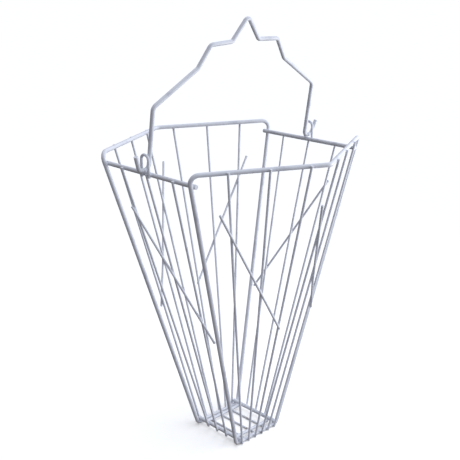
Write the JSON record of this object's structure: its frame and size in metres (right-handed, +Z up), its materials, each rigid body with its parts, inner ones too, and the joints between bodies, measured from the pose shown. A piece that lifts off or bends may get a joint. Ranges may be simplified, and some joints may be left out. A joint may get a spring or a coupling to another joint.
{
  "type": "fruit picker basket",
  "caption": "Tapered wire fruit picking basket with a six-sided mouth, a square wire foot, diagonal braces and a stepped swinging bail that hooks into two eyes.",
  "frame": {"origin": "centre of the square foot, on the plane the basket stands on", "axes": "+Z up, +X to the right along the bail's hinge line, -Y is the front, towards which the bail leans at rest"},
  "size_m": [0.3152, 0.3152, 0.5575],
  "materials": {
    "ring_coat": "smooth white dip coating, slightly bluish, satin gloss",
    "floor_coat": "smooth white dip coating, slightly bluish, satin gloss",
    "stay_coat": "smooth white dip coating, slightly bluish, satin gloss",
    "brace_coat": "smooth white dip coating, slightly bluish, satin gloss",
    "eye_coat": "smooth white dip coating, slightly bluish, satin gloss",
    "bail_coat": "smooth white dip coating, slightly bluish, satin gloss"
  },
  "bodies": {
    "basket": {"ring_front": "ring_coat", "ring_back": "ring_coat", "rim_bar_left": "ring_coat", "rim_bar_right": "ring_coat", "foot_bar_left": "ring_coat", "foot_bar_right": "ring_coat", "floor_cross_front": "floor_coat", "floor_cross_back": "floor_coat", "floor_rod_1": "floor_coat", "floor_rod_2": "floor_coat", "floor_rod_3": "floor_coat", "stay_front_left_1": "stay_coat", "stay_front_left_2": "stay_coat", "stay_front_left_3": "stay_coat", "stay_front_right_1": "stay_coat", "stay_front_right_2": "stay_coat", "stay_front_right_3": "stay_coat", "stay_back_left_1": "stay_coat", "stay_back_left_2": "stay_coat", "stay_back_left_3": "stay_coat", "stay_back_right_1": "stay_coat", "stay_back_right_2": "stay_coat", "stay_back_right_3": "stay_coat", "stay_left_1": "stay_coat", "stay_left_2": "stay_coat", "stay_left_3": "stay_coat", "stay_right_1": "stay_coat", "stay_right_2": "stay_coat", "stay_right_3": "stay_coat", "brace_front_left": "brace_coat", "brace_front_right": "brace_coat", "brace_back_left": "brace_coat", "brace_back_right": "brace_coat", "brace_left": "brace_coat", "brace_right": "brace_coat", "eye_left": "eye_coat", "eye_right": "eye_coat"},
    "bail": {"bail": "bail_coat"}
  },
  "joints": [
    {"name": "bail_swing", "type": "hinge", "parent": "basket", "child": "bail", "pos_m": [0, 0.0015, 0.3916], "axis": [1, 0, 0], "range_deg": [-90, 70]}
  ]
}
